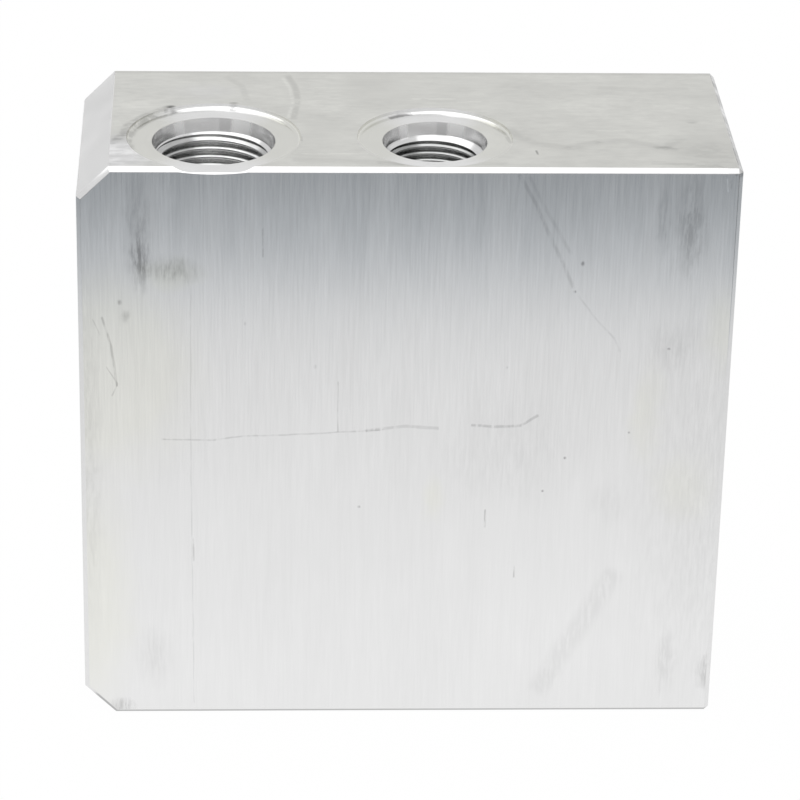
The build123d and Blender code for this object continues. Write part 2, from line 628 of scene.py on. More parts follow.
@dataclass(frozen=True)
class Finish(ABC):
    """Bare aluminium: a colour and a roughness, which each kind of face varies in its own way."""

    name: str
    colour: Colour
    roughness: float

    def material(self) -> bpy.types.Material:
        """Make the material.

        Returns:
            The new material.
        """
        material, graph = new_material(self.name)
        colour, roughness, normal = self.look(graph)
        sockets = {"Base_Color": colour, "Metallic": 1.0, "Roughness": roughness, "Normal": normal}
        shader = graph.node("ShaderNodeBsdfPrincipled", None, **sockets)
        graph.node("ShaderNodeOutputMaterial", None, shader.outputs[0])
        return material

    @abstractmethod
    def look(self, graph: Graph) -> Look:
        """How the colour, the roughness and the height vary.

        Args:
            graph: The material's graph.

        Returns:
            The colour, the roughness and the normal.
        """


@dataclass(frozen=True)
class PlainFace(Finish):
    """A sawn or filed face with a fine grain and rubbed places."""

    grain: Pattern = Pattern((700.0, 700.0, 700.0), 6.6, 3.0, 0.6)
    rub: Pattern = Pattern((90.0, 90.0, 90.0), 2.9)
    darkest: float = 0.93
    grain_shade: float = 0.08
    rub_shade: float = 0.06
    rub_roughness: float = 0.10

    def look(self, graph: Graph) -> Look:
        """Grain and rubbed places.

        Args:
            graph: The material's graph.

        Returns:
            The colour, the roughness and the normal.
        """
        grain, rub = graph.noise(self.grain), graph.noise(self.rub)
        shade = self.darkest + self.grain_shade * grain + self.rub_shade * rub
        roughness = self.roughness + rub.swing(self.rub_roughness)
        return graph.scaled(self.colour, shade), roughness, graph.bump(grain, BRUSHED_HEIGHT)


@dataclass(frozen=True)
class EdgeBreak(PlainFace):
    """A filed edge break, dull in places at the right end of its top stretch."""

    grain: Pattern = Pattern((700.0, 700.0, 700.0), 6.6, 3.0, 0.65)
    rub: Pattern = Pattern((110.0, 110.0, 110.0), 2.9, 3.0, 0.6)
    darkest: float = 0.95
    grain_shade: float = 0.10
    rub_shade: float = 0.05
    rub_roughness: float = 0.12
    dull_across: Spot = (141.0, 151.0)
    dull_down: Spot = (2.5, 1.5)
    dull_rub: Spot = (0.3, 0.7)
    dullness: float = 0.55

    def look(self, graph: Graph) -> Look:
        """Grain, rubbed places and the dull end.

        Args:
            graph: The material's graph.

        Returns:
            The colour, the roughness and the normal.
        """
        colour, roughness, normal = super().look(graph)
        across, _, down = graph.on_block()
        at_end = across.step(*self.dull_across) * down.step(*self.dull_down)
        dull = self.dullness * at_end * graph.noise(self.rub).step(*self.dull_rub)
        return graph.scaled(colour, 1.0 - dull), roughness, normal


@dataclass(frozen=True)
class BrushedFace(Finish):
    """A side face with the upright lines of its drawing and brushing, which fade down the face."""

    wear: Wear | None = None
    stain_tint: Colour = (1.0, 1.0, 0.955)
    hair: Pattern = Pattern((2300.0, 2300.0, 90.0), 3.1, 2.0, 0.7)
    fine: Pattern = Pattern((900.0, 900.0, 48.0), 7.7, 4.0, 0.7)
    broad: Pattern = Pattern((150.0, 150.0, 9.0), 8.3, 3.0, 0.6)
    cloud: Pattern = Pattern((34.0, 34.0, 26.0), 5.7, 4.0, 0.6)
    soil: Pattern = Pattern((1100.0, 1100.0, 190.0), 4.2, 4.0, 0.75)
    hair_shade: float = 0.30
    fine_shade: float = 0.20
    broad_shade: float = 0.18
    cloud_shade: float = 0.09
    broad_roughness: float = 0.08
    cloud_roughness: float = 0.05
    upper_fade: Fade = (5.0, 42.0, 1.0, 0.50)
    lower_fade: Fade = (45.0, 95.0, 1.0, 0.36)

    def look(self, graph: Graph) -> Look:
        """Upright lines in colour, roughness and height, and the marks of wear.

        Args:
            graph: The material's graph.

        Returns:
            The colour, the roughness and the normal.
        """
        across, _, down = graph.on_block()
        patterns = (self.hair, self.fine, self.broad, self.cloud)
        hair, fine, broad, cloud = (graph.noise(pattern) for pattern in patterns)
        heavy = down.step(*self.upper_fade) * down.step(*self.lower_fade)
        lines = heavy * (hair.swing(self.hair_shade) + fine.swing(self.fine_shade))
        lines = lines + heavy.root() * broad.swing(self.broad_shade)
        shade = 1.0 + lines + cloud.swing(self.cloud_shade)
        colour = self.colour
        if self.wear:
            soil = graph.noise(self.soil)
            shade = shade * (1.0 - self.wear.darkness(graph, across, down, soil))
            stained = tuple(part * tint for part, tint in zip(self.colour, self.stain_tint))
            colour = graph.blend(self.wear.stain(graph, across, down), self.colour, stained)
        roughness = self.roughness + broad.swing(self.broad_roughness) + cloud.swing(self.cloud_roughness)
        return graph.scaled(colour, shade), roughness, graph.bump(fine, BRUSHED_HEIGHT)


@dataclass(frozen=True)
class MilledFace(Finish):
    """The duller top face, with cutter lines and with rubbed and dirty places."""

    wear: Wear = TOP_WEAR
    rubbed: Colour = (0.71, 0.71, 0.712)
    lines: Pattern = Pattern((45.0, 900.0, 45.0), 2.2, 3.0, 0.6)
    cloud: Pattern = Pattern((70.0, 110.0, 70.0), 4.4, 4.0, 0.6)
    soil: Pattern = Pattern((260.0, 620.0, 260.0), 1.2, 3.0, 0.65)
    lines_shade: float = 0.08
    cloud_shade: float = 0.26
    soil_shade: float = 0.20
    cloud_roughness: float = 0.1

    def look(self, graph: Graph) -> Look:
        """Faint cutter lines, cloudy stains and the marks of wear.

        Args:
            graph: The material's graph.

        Returns:
            The colour, the roughness and the normal.
        """
        across, back, _ = graph.on_block()
        lines, cloud, soil = (graph.noise(pattern) for pattern in (self.lines, self.cloud, self.soil))
        shade = 1.0 + lines.swing(self.lines_shade) + cloud.swing(self.cloud_shade)
        shade = shade + soil.swing(self.soil_shade)
        shade = shade * (1.0 - self.wear.darkness(graph, across, back, soil))
        colour = graph.blend(self.wear.stain(graph, across, back), self.colour, self.rubbed)
        roughness = self.roughness + cloud.swing(self.cloud_roughness)
        return graph.scaled(colour, shade), roughness, graph.bump(lines, BRUSHED_HEIGHT)


@dataclass(frozen=True)
class PaintedSeatReflection:
    """A painted reflection on a stretch of a tapered seat, light where its shade is above 0 and dark where
    below, with any rise in roughness: its middle and width in radians, and what it adds.
    """

    angle: float
    half_width: float
    softness: float
    shade: float
    roughness: float = 0.0

    def mask(self, angle: Value) -> Value:
        """1 on the patch and 0 off it."""
        return (angle - self.angle).band(self.half_width, self.softness)


@dataclass(frozen=True)
class TurnedPort(Finish):
    """A turned port: tool rings round its own axis, painted reflections on its seat, and a dirty spotface
    that painted light makes lighter toward its front and rear. In millimetres.
    """

    outlet_down: float = (HIGH.z - LOW.z) / 2 / MM
    thickness: float = (HIGH.y - LOW.y) / MM
    outlets_below: float = 40.0
    blur: float = 0.1
    spotface_end: Spot = (1.22, 1.18)
    seat_start: Spot = (1.2, 1.3)
    seat_end: Spot = (4.5, 4.4)
    # Painted reflections on the seat: light and dark stretches by angle round the axis, the light ones also
    # rougher
    seat_reflections: tuple[PaintedSeatReflection, ...] = (
        PaintedSeatReflection(2.19, 0.06, 0.08, 0.27, 0.12),
        PaintedSeatReflection(1.08, 0.12, 0.12, 0.27, 0.12),
        PaintedSeatReflection(1.38, 0.07, 0.06, -0.11),
    )
    dirty: Colour = (0.765, 0.765, 0.725)
    wear: Wear = PORT_WEAR
    rings: Pattern = Pattern((3.2, 3.2, 0.4), 5.5, 3.0, 0.7)
    rub: Pattern = Pattern((0.35, 0.35, 1.6), 3.3)
    soil: Pattern = Pattern((420.0, 420.0, 420.0), 7.3, 3.0, 0.65)
    ring_shade: float = 0.09
    rub_shade: float = 0.06
    rub_roughness: float = 0.08
    # Painted shade over the whole seat, which the light stretches lift
    painted_seat_shade: float = -0.10
    spotface_shade: float = -0.02
    # Painted light: the spotface is lighter toward its front and rear, where ends turns from its sides
    ends: Spot = (0.55, 0.97)
    painted_end_light: float = 0.15

    def look(self, graph: Graph) -> Look:
        """Rings in colour and height, painted reflections on the seat, dirt on the spotface, and painted
        light at its front and rear.

        Args:
            graph: The material's graph.

        Returns:
            The colour, the roughness and the normal.
        """
        across, back, down = graph.on_block()
        halfway = (LARGE_ACROSS + SMALL_ACROSS) / 2
        aside = across - across.step(halfway, halfway + self.blur, LARGE_ACROSS, SMALL_ACROSS)
        on_top = down.step(self.outlets_below + self.blur, self.outlets_below)
        outlet = 1.0 - on_top
        beyond = on_top * (back - SETBACK) + outlet * (self.outlet_down - down)
        depth = on_top * down + outlet * (self.thickness - back)
        radius = (aside * aside + beyond * beyond).root()
        angle = beyond.angle_from(aside)
        round_axis = graph.join(radius, depth, angle)
        rings, rub = graph.noise(self.rings, round_axis), graph.noise(self.rub, round_axis)
        spotface = depth.step(*self.spotface_end)
        seat = depth.step(*self.seat_start) * depth.step(*self.seat_end)
        ends = (abs(beyond) / radius).step(*self.ends)
        masks = [(patch, patch.mask(angle)) for patch in self.seat_reflections]
        shade = 1.0 + rings.swing(self.ring_shade) + rub.swing(self.rub_shade)
        # Painted reflections on the seat: darker overall, lighter and darker in stretches by angle
        shade = shade + seat * (self.painted_seat_shade + sum(patch.shade * mask for patch, mask in masks))
        # Painted light on the spotface: lighter toward its front and rear
        shade = shade + spotface * (self.spotface_shade + self.painted_end_light * ends)
        dirt = self.wear.darkness(graph, across, back, graph.noise(self.soil))
        shade = shade * (1.0 - spotface * on_top * dirt)
        colour = graph.blend(spotface * (1.0 - ends), self.colour, self.dirty)
        roughness = self.roughness + rub.swing(self.rub_roughness)
        roughness = roughness + seat * sum(patch.roughness * mask for patch, mask in masks)
        return graph.scaled(colour, shade), roughness, graph.bump(rings, TURNED_HEIGHT)


@dataclass(frozen=True)
class CutThread(Finish):
    """A tapped thread: lines along its turns, cloudy oil, and a painted reflection that is lightest near its
    port's middle and darker to the sides.

    The mounting holes' threads are too far from axis_across, so they take the darker level of the painted
    reflection.
    """

    axis_across: float = LARGE_ACROSS
    # Painted reflection: where the thread is lightest, and how it darkens to the sides of its port
    painted_reflection_offset: float = 1.5
    painted_reflection_fade: Fade = (3.5, 8.0, 1.0, 0.75)
    lines: Pattern = Pattern((60.0, 60.0, 2600.0), 8.8, 3.0, 0.6)
    oil: Pattern = Pattern((230.0, 230.0, 420.0), 1.9, 3.0, 0.6)
    lines_shade: float = 0.35
    oil_shade: float = 0.4
    oil_roughness: float = 0.15

    def look(self, graph: Graph) -> Look:
        """Lines along the turns, cloudy oil and the painted reflection, darker to the sides.

        Args:
            graph: The material's graph.

        Returns:
            The colour, the roughness and the normal.
        """
        lines, oil = graph.noise(self.lines), graph.noise(self.oil)
        across, _, _ = graph.on_block()
        # Painted reflection: lighter near the port's middle, darker to its sides
        painted_reflection = abs(across - self.axis_across - self.painted_reflection_offset).step(*self.painted_reflection_fade)
        shade = (1.0 + lines.swing(self.lines_shade) + oil.swing(self.oil_shade)) * painted_reflection
        roughness = self.roughness + oil.swing(self.oil_roughness)
        return graph.scaled(self.colour, shade), roughness, graph.bump(lines, TURNED_HEIGHT)


class Surface(Enum):
    """The finishes of the block, in the order of its material slots."""

    FRONT = BrushedFace("brushed_front", (0.865, 0.865, 0.865), 0.18, FRONT_WEAR)
    SIDE = BrushedFace("brushed_side", (0.865, 0.865, 0.865), 0.18)
    TOP = MilledFace("milled_top", (0.70, 0.70, 0.668), 0.33)
    CHAMFER = PlainFace("corner_chamfer", (0.94, 0.94, 0.94), 0.22)
    EDGE = EdgeBreak("edge_break", (0.80, 0.80, 0.80), 0.20)
    TURNED = TurnedPort("turned_port", (0.77, 0.77, 0.77), 0.20)
    THREAD = CutThread("cut_thread", (0.72, 0.725, 0.72), 0.20)
    # The small port's threads, darker than the large port's
    OILY_THREAD = CutThread("darker_thread", (0.50, 0.505, 0.50), 0.20, SMALL_ACROSS)


def material_of(surface: Surface) -> bpy.types.Material:
    """The material of a surface, made once."""
    made = bpy.data.materials.get(surface.value.name)
    return made or surface.value.material()


# -------------------------------------------------------------------- geometry


WELD = 0.0005 * MM  # vertices closer than this are merged
CUT_TOLERANCE = 0.0001 * MM
DRILL_HALF_ANGLE = math.radians(59.0)


def point_length(radius: float) -> float:
    """Length of the point of a drill of that radius."""
    return radius / math.tan(DRILL_HALF_ANGLE)


def close_and_orient(bm: bmesh.types.BMesh) -> None:
    """Merge the seams of a shape and turn its faces outwards."""
    bmesh.ops.remove_doubles(bm, verts=bm.verts, dist=WELD)
    bmesh.ops.recalc_face_normals(bm, faces=bm.faces)


def object_from(bm: bmesh.types.BMesh, name: str) -> bpy.types.Object:
    """Make a finished bmesh an object in the scene.

    Args:
        bm: The shape, which is freed.
        name: The object's name.

    Returns:
        The new object.
    """
    mesh = bpy.data.meshes.new(name)
    bm.to_mesh(mesh)
    bm.free()
    made = bpy.data.objects.new(name, mesh)
    bpy.context.collection.objects.link(made)
    return made


def drawn(bm: bmesh.types.BMesh, outline: Outline) -> list:
    """Draw (radius, height) points and the edges between them, ready to be turned round the Z axis."""
    verts = [bm.verts.new((radius, 0.0, height)) for radius, height in outline]
    return verts + [bm.edges.new(pair) for pair in zip(verts, verts[1:])]


def vertices_of(geometry: list) -> list[bmesh.types.BMVert]:
    """The vertices among the vertices, edges and faces of an operator's result."""
    return [item for item in geometry if isinstance(item, bmesh.types.BMVert)]


def turned(outline: Outline, steps: int) -> bmesh.types.BMesh:
    """Turn an outline round the Z axis.

    Args:
        outline: (radius, height) points from one end of the axis to the other, in metres.
        steps: Flats in a full turn.

    Returns:
        The closed shape.
    """
    bm = bmesh.new()
    bmesh.ops.spin(
        bm, geom=drawn(bm, outline), cent=(0, 0, 0), axis=(0, 0, 1), angle=math.tau, steps=steps,
        use_merge=True,
    )
    close_and_orient(bm)
    return bm


@dataclass(frozen=True)
class Thread:
    """Internal unified thread, all in metres."""

    major_radius: float
    pitch: float
    length: float
    ridge_depth: float = 6.0 * MM  # below the face, of one ridge's middle on the +Y side
    steps: int = 128
    root_flat: float = 1 / 8  # in pitches, as are the crests' flat and the core's relief
    crest_flat: float = 1 / 4
    core_relief: float = 0.04
    flank_angle: float = math.radians(60)
    crest_break: float = 0.14 * MM
    crest_angle: float = math.radians(52)

    @property
    def depth(self) -> float:
        """Height of the ridges."""
        return (1 - self.root_flat - self.crest_flat) / 2 * self.pitch * math.tan(self.flank_angle)

    @property
    def minor_radius(self) -> float:
        """Radius inside the ridges."""
        return self.major_radius - self.depth

    def _profile(self) -> Outline:
        """One pitch of the tap's outline, whose ridges have their corners broken by crest_break.

        Returns:
            (radius, height) points from one root to the next.
        """
        flat = self.pitch * self.root_flat
        flank = (self.depth - self.crest_break) / math.tan(self.flank_angle)
        relief = self.core_relief * self.pitch
        broken = (self.crest_break + relief) * math.tan(self.crest_angle)
        broken_radius = self.minor_radius + self.crest_break
        core = self.minor_radius - relief
        return [
            (self.major_radius, 0.0),
            (self.major_radius, flat),
            (broken_radius, flat + flank),
            (core, flat + flank + broken),
            (core, self.pitch - flank - broken),
            (broken_radius, self.pitch - flank),
            (self.major_radius, self.pitch),
        ]

    def cutter(self, top: float) -> bmesh.types.BMesh:
        """A tap: a core with a right-hand helical tooth, with its height set by ridge_depth.

        Args:
            top: Height of its flat top end.

        Returns:
            The closed shape.
        """
        spare_turns = 3
        turns = math.ceil(self.length / self.pitch) + spare_turns
        ridge_middle = (self.root_flat + 1) / 2
        quarter_turn = 1 / 4
        low = -self.ridge_depth - self.pitch * (ridge_middle + quarter_turn)
        low -= self.pitch * (math.ceil((low - top + self.length) / self.pitch) + 1)
        bm = bmesh.new()
        outline = [(radius, low + height) for radius, height in self._profile()]
        bmesh.ops.spin(
            bm, geom=drawn(bm, outline), cent=(0, 0, 0), axis=(0, 0, 1), angle=math.tau,
            steps=self.steps, dvec=(0, 0, self.pitch / self.steps), use_merge=False,
        )
        turn = bm.verts[:] + bm.edges[:] + bm.faces[:]
        for count in range(1, turns):
            copied = bmesh.ops.duplicate(bm, geom=turn)["geom"]
            bmesh.ops.translate(bm, verts=vertices_of(copied), vec=(0, 0, count * self.pitch))
        close_and_orient(bm)
        for height, side in ((top, 1), (top - self.length, -1)):
            self._cut_flat(bm, height, side)
        close_and_orient(bm)
        return bm

    @staticmethod
    def _cut_flat(bm: bmesh.types.BMesh, height: float, side: int) -> None:
        """Cut the helical tube at a height and close it with a flat face.

        Args:
            bm: The shape.
            height: Where it's cut.
            side: 1 removes what is above, -1 what is below.
        """
        geometry = bm.verts[:] + bm.edges[:] + bm.faces[:]
        cut = bmesh.ops.bisect_plane(
            bm, geom=geometry, dist=CUT_TOLERANCE, plane_co=(0, 0, height), plane_no=(0, 0, side),
            clear_outer=True,
        )
        rim = [item for item in cut["geom_cut"] if isinstance(item, bmesh.types.BMEdge)]
        bmesh.ops.edgeloop_fill(bm, edges=rim)


@dataclass(frozen=True)
class Port:
    """A straight-thread port with a tapered O-ring seat, all in metres."""

    spotface_radius: float
    spotface_corner: float
    mouth_radius: float
    seat_depth: float
    flow_radius: float
    thread: Thread
    spotface_depth: float = 1.15 * MM
    seat_half_angle: float = math.radians(12.0)
    overrun: float = 4.0 * MM
    corner_steps: int = 6

    @property
    def seat_radius(self) -> float:
        """Radius at the bottom of the tapered seat."""
        return self.mouth_radius - self.seat_depth * math.tan(self.seat_half_angle)

    @property
    def seat_bottom(self) -> float:
        """Height of the bottom of the seat, from the face."""
        return -self.spotface_depth - self.seat_depth

    def _corner(self) -> Outline:
        """The rounded corner at the foot of the spotface's wall.

        Returns:
            Its (radius, height) points, from the wall to the floor.
        """
        corner = self.spotface_corner
        across, height = self.spotface_radius - corner, corner - self.spotface_depth
        angles = [math.radians(90) * step / self.corner_steps for step in range(self.corner_steps + 1)]
        return [(across + corner * math.cos(angle), height - corner * math.sin(angle)) for angle in angles]

    def cavity(self, flow_depth: float) -> bmesh.types.BMesh:
        """The port without its thread: spotface, seat, lead-in, tapping bore and flow drilling.

        Args:
            flow_depth: Depth of the flow drilling below the face.

        Returns:
            The closed shape, with its mouth on Z = 0.
        """
        bore = self.thread.minor_radius
        lead_bottom = self.seat_bottom - (self.seat_radius - bore)
        bore_bottom = self.seat_bottom - self.thread.length
        shoulder = bore_bottom - point_length(bore - self.flow_radius)
        outline = [
            (0.0, self.overrun),
            (self.spotface_radius, self.overrun),
            *self._corner(),
            (self.mouth_radius, -self.spotface_depth),
            (self.seat_radius, self.seat_bottom),
            (bore, lead_bottom),
            (bore, bore_bottom),
            (self.flow_radius, shoulder),
            (self.flow_radius, -flow_depth),
            (0.0, -flow_depth - point_length(self.flow_radius)),
        ]
        return turned(outline, self.thread.steps)


@dataclass(frozen=True)
class MountHole:
    """A blind tapped hole with a countersunk mouth, all in metres."""

    thread: Thread
    drill_depth: float = 24.0 * MM
    countersink: float = 0.6 * MM
    overrun: float = 1.0 * MM

    def cavity(self) -> bmesh.types.BMesh:
        """The hole without its thread.

        Returns:
            The closed shape, with its mouth on Z = 0.
        """
        bore = self.thread.minor_radius
        mouth = self.thread.major_radius + self.countersink
        outline = [
            (0.0, self.overrun),
            (mouth + self.overrun, self.overrun),
            (bore, bore - mouth),
            (bore, -self.drill_depth),
            (0.0, -self.drill_depth - point_length(bore)),
        ]
        return turned(outline, self.thread.steps)


# How the edges and faces of the blank are told apart, by the parts of a direction and by area
SQUARE = 0.99
LEVEL = 0.05
SLOPED = 0.6
CHAMFER_AREA = 100 * MM**2

# Facets of curved faces are smaller, and their edges flatter
FACET_AREA = 20 * MM**2
SHARP_ANGLE = math.radians(24)


@dataclass
class ManifoldBlock:
    """The block: a chamfered bar, its four ports and its four mounting holes."""

    corner_chamfer: float = 7.4 * MM
    edge_break: float = 1.0 * MM
    edge_softness: float = 0.1 * MM
    mount_spacing: tuple[float, float] = (114.3 * MM, 101.6 * MM)
    large: Port = Port(
        20.2 * MM, 0.9 * MM, 14.3 * MM, 3.2 * MM, 9.0 * MM,
        Thread(13.494 * MM, 25.4 / 12 * MM, 19.0 * MM, 8.36 * MM),
    )
    small: Port = Port(
        18.05 * MM, 0.6 * MM, 12.2 * MM, 3.05 * MM, 7.0 * MM,
        Thread(11.112 * MM, 25.4 / 14 * MM, 16.7 * MM, 8.44 * MM),
    )
    mount_hole: MountHole = MountHole(Thread(4.7625 * MM, 25.4 / 16 * MM, 19.0 * MM, steps=64))
    runout_width: float = 16.0 * MM
    runout_depth: float = 0.39 * MM
    runout_length: float = 6.0 * MM
    runout_half_steps: int = 12
    port_tap_rise: float = 0.4 * MM  # of a tap's end above the bottom of the seat
    mount_tap_rise: float = 0.5 * MM  # of a tap's end above the face
    cutters: list[bpy.types.Object] = field(default_factory=list)

    def blank(self) -> bpy.types.Object:
        """The chamfered bar before it's drilled.

        Returns:
            The new object.
        """
        bm = bmesh.new()
        place = Matrix.Translation((HIGH + LOW) / 2) @ Matrix.Diagonal((*(HIGH - LOW), 1.0))
        bmesh.ops.create_cube(bm, size=1.0, matrix=place)
        corners = [edge for edge in bm.edges if self._at_left(edge)]
        self._bevel(bm, corners, self.corner_chamfer, 1)
        others = [edge for edge in bm.edges if not self._at_left(edge)]
        self._bevel(bm, others, self.edge_break, 1)
        self._bevel(bm, bm.edges[:], self.edge_softness, 2)
        bm.normal_update()
        for face in bm.faces:
            face.material_index = self._surface_of(face)
        blank = object_from(bm, "machined_block")
        for surface in Surface:
            blank.data.materials.append(material_of(surface))
        return blank

    @staticmethod
    def _at_left(edge: bmesh.types.BMEdge) -> bool:
        """Whether an edge runs from front to rear on the left side."""
        along = (edge.verts[1].co - edge.verts[0].co).normalized()
        return abs(along.y) > SQUARE and edge.verts[0].co.x < 0

    @staticmethod
    def _bevel(bm: bmesh.types.BMesh, edges: list[bmesh.types.BMEdge], offset: float, segments: int) -> None:
        """Bevel edges.

        Args:
            bm: The shape.
            edges: The edges.
            offset: Width on each side of the edge.
            segments: Faces across the bevel.
        """
        bmesh.ops.bevel(
            bm, geom=edges, offset=offset, offset_type="OFFSET", segments=segments, profile=0.5,
            affect="EDGES", material=-1, clamp_overlap=True,
        )

    @staticmethod
    def _surface_of(face: bmesh.types.BMFace) -> int:
        """Choose a blank face's finish from the way that it faces.

        Args:
            face: The face.

        Returns:
            The index of its finish.
        """
        normal = face.normal
        surface = Surface.EDGE
        if normal.z > SQUARE:
            surface = Surface.TOP
        elif normal.y < -SQUARE:
            surface = Surface.FRONT
        elif max(abs(part) for part in normal) > SQUARE:
            surface = Surface.SIDE
        elif abs(normal.y) < LEVEL and normal.x < -SLOPED and face.calc_area() > CHAMFER_AREA:
            surface = Surface.CHAMFER
        return list(Surface).index(surface)

    def add_cutter(self, bm: bmesh.types.BMesh, place: Matrix, surface: Surface) -> None:
        """Put a cutting tool in place.

        Args:
            bm: The tool, with its mouth on Z = 0.
            place: Where it goes.
            surface: The finish that it leaves.
        """
        bmesh.ops.transform(bm, matrix=place, verts=bm.verts)
        tool = object_from(bm, f"tool_{len(self.cutters)}")
        tool.data.materials.append(material_of(surface))
        self.cutters.append(tool)

    def drill(
        self, cavity: bmesh.types.BMesh, tap: bmesh.types.BMesh, place: Matrix, surface: Surface
    ) -> None:
        """Add the tools of one threaded hole.

        Args:
            cavity: The hole without its thread.
            tap: The tool of its thread, which is copied and kept.
            place: Where the hole goes.
            surface: The finish of its thread.
        """
        self.add_cutter(cavity, place, Surface.TURNED)
        self.add_cutter(tap.copy(), place, surface)

    def runout(self) -> bmesh.types.BMesh:
        """The shallow round-bottomed dip that is filed across an edge, upside down on Z = 0.

        Returns:
            The closed shape, along X, with its length along Y.
        """
        half = self.runout_width / 2
        radius = (half**2 + self.runout_depth**2) / (2 * self.runout_depth)
        reach = math.asin(half / radius)
        centre = radius - self.runout_depth
        half_steps = self.runout_half_steps
        angles = [reach * (step / half_steps - 1) for step in range(2 * half_steps + 1)]
        arc = [(radius * math.sin(angle), centre - radius * math.cos(angle)) for angle in angles]
        outline = arc + [(half, self.large.overrun), (-half, self.large.overrun)]
        bm = bmesh.new()
        verts = [bm.verts.new((across, -self.runout_length / 2, height)) for across, height in outline]
        face = bm.faces.new(verts)
        grown = bmesh.ops.extrude_face_region(bm, geom=[face])["geom"]
        bmesh.ops.translate(bm, verts=vertices_of(grown), vec=(0, self.runout_length, 0))
        close_and_orient(bm)
        return bm

    def machine(self) -> None:
        """Add the tools of every port and mounting hole."""
        middle = (LOW.z + HIGH.z) / 2
        setback = SETBACK * MM
        out_of_rear = Matrix.Rotation(math.radians(-90), 4, "X")
        ports = ((self.large, LARGE_ACROSS, Surface.THREAD), (self.small, SMALL_ACROSS, Surface.OILY_THREAD))
        for port, from_left, surface in ports:
            across = LOW.x + from_left * MM
            top_place = Matrix.Translation((across, LOW.y + setback, HIGH.z))
            rear_place = Matrix.Translation((across, HIGH.y, middle)) @ out_of_rear
            down = HIGH.z - middle + port.flow_radius
            back = HIGH.y - LOW.y - setback + port.flow_radius / 2
            tap = port.thread.cutter(port.seat_bottom + self.port_tap_rise)
            self.drill(port.cavity(down), tap, top_place, surface)
            self.drill(port.cavity(back), tap, rear_place, surface)
            tap.free()
        tap = self.mount_hole.thread.cutter(self.mount_tap_rise)
        for side in (-0.5, 0.5):
            for level in (-0.5, 0.5):
                spot = (side * self.mount_spacing[0], HIGH.y, middle + level * self.mount_spacing[1])
                place = Matrix.Translation(spot) @ out_of_rear
                self.drill(self.mount_hole.cavity(), tap, place, Surface.THREAD)
        tap.free()
        self.add_cutter(self.runout(), self._runout_place(), Surface.EDGE)

    def _runout_place(self) -> Matrix:
        """Find the middle of the front top edge break, before the large port.

        Returns:
            The place, with Z pointing out of the edge break.
        """
        half_break = self.edge_break / 2
        middle = (LOW.x + LARGE_ACROSS * MM, LOW.y + half_break, HIGH.z - half_break)
        return Matrix.Translation(middle) @ Matrix.Rotation(math.radians(45), 4, "X")

    def build(self) -> bpy.types.Object:
        """Cut the tools out of the blank and dress the result.

        Returns:
            The finished block.
        """
        block = self.blank()
        self.machine()
        tools = bpy.data.collections.new("tools")
        for tool in self.cutters:
            tools.objects.link(tool)
        cut = block.modifiers.new("machining", "BOOLEAN")
        cut.operation = "DIFFERENCE"
        cut.solver = "EXACT"
        cut.material_mode = "TRANSFER"
        cut.operand_type = "COLLECTION"
        cut.collection = tools
        evaluated = block.evaluated_get(bpy.context.evaluated_depsgraph_get())
        machined = bpy.data.meshes.new_from_object(evaluated)
        block.modifiers.clear()
        block.data = machined
        for tool in self.cutters:
            bpy.data.objects.remove(tool)
        bpy.data.collections.remove(tools)
        self._shade(block.data)
        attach(block, BODY)
        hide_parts(CAD_NODE)
        log.info("%s: %d faces", block.name, len(block.data.polygons))
        return block

    @staticmethod
    def _shade(mesh: bpy.types.Mesh) -> None:
        """Smooth the curved faces and keep the corners sharp.

        Args:
            mesh: The block's mesh.
        """
        bm = bmesh.new()
        bm.from_mesh(mesh)
        bmesh.ops.remove_doubles(bm, verts=bm.verts, dist=WELD)
        for face in bm.faces:
            face.smooth = face.calc_area() < FACET_AREA
        for edge in bm.edges:
            edge.smooth = len(edge.link_faces) == 2 and edge.calc_face_angle() < SHARP_ANGLE
        bm.to_mesh(mesh)
        bm.free()


# ---------------------------------------------------------------------- studio


@dataclass(frozen=True)
class Camera:
    """Where the camera stands. Angles are in degrees and lengths in metres."""

    azimuth: float = -2.95
    elevation: float = 26.43
    roll: float = 1.33
    distance: float = 0.8707
    lens: float = 167.2
    aim: Point = (-0.0013, -0.0305, 0.0853)

    def make(self) -> None:
        """Create the camera and make it the scene's."""
        turn, lift = math.radians(self.azimuth), math.radians(self.elevation)
        back = Vector((math.sin(turn) * math.cos(lift), -math.cos(turn) * math.cos(lift), math.sin(lift)))
        data = bpy.data.cameras.new("camera")
        data.lens = self.lens
        camera = bpy.data.objects.new("camera", data)
        bpy.context.collection.objects.link(camera)
        camera.location = Vector(self.aim) + back * self.distance
        level = (-back).to_track_quat("-Z", "Y")
        camera.rotation_mode = "QUATERNION"
        camera.rotation_quaternion = level @ Matrix.Rotation(math.radians(self.roll), 3, "Z").to_quaternion()
        bpy.context.scene.camera = camera


@dataclass(frozen=True)
class Softbox:
    """A soft lamp that faces a point. Lengths are in metres."""

    name: str
    place: Point
    size: tuple[float, float]
    radiance: float
    target: Point = (0.0, 0.0, 0.1)

    def make(self) -> None:
        """Create the lamp."""
        data = bpy.data.lights.new(self.name, "AREA")
        data.shape = "RECTANGLE"
        data.size, data.size_y = self.size
        data.energy = self.radiance * math.pi * self.size[0] * self.size[1]
        lamp = bpy.data.objects.new(self.name, data)
        bpy.context.collection.objects.link(lamp)
        lamp.location = self.place
        lamp.rotation_mode = "QUATERNION"
        lamp.rotation_quaternion = (Vector(self.target) - lamp.location).to_track_quat("-Z", "Y")


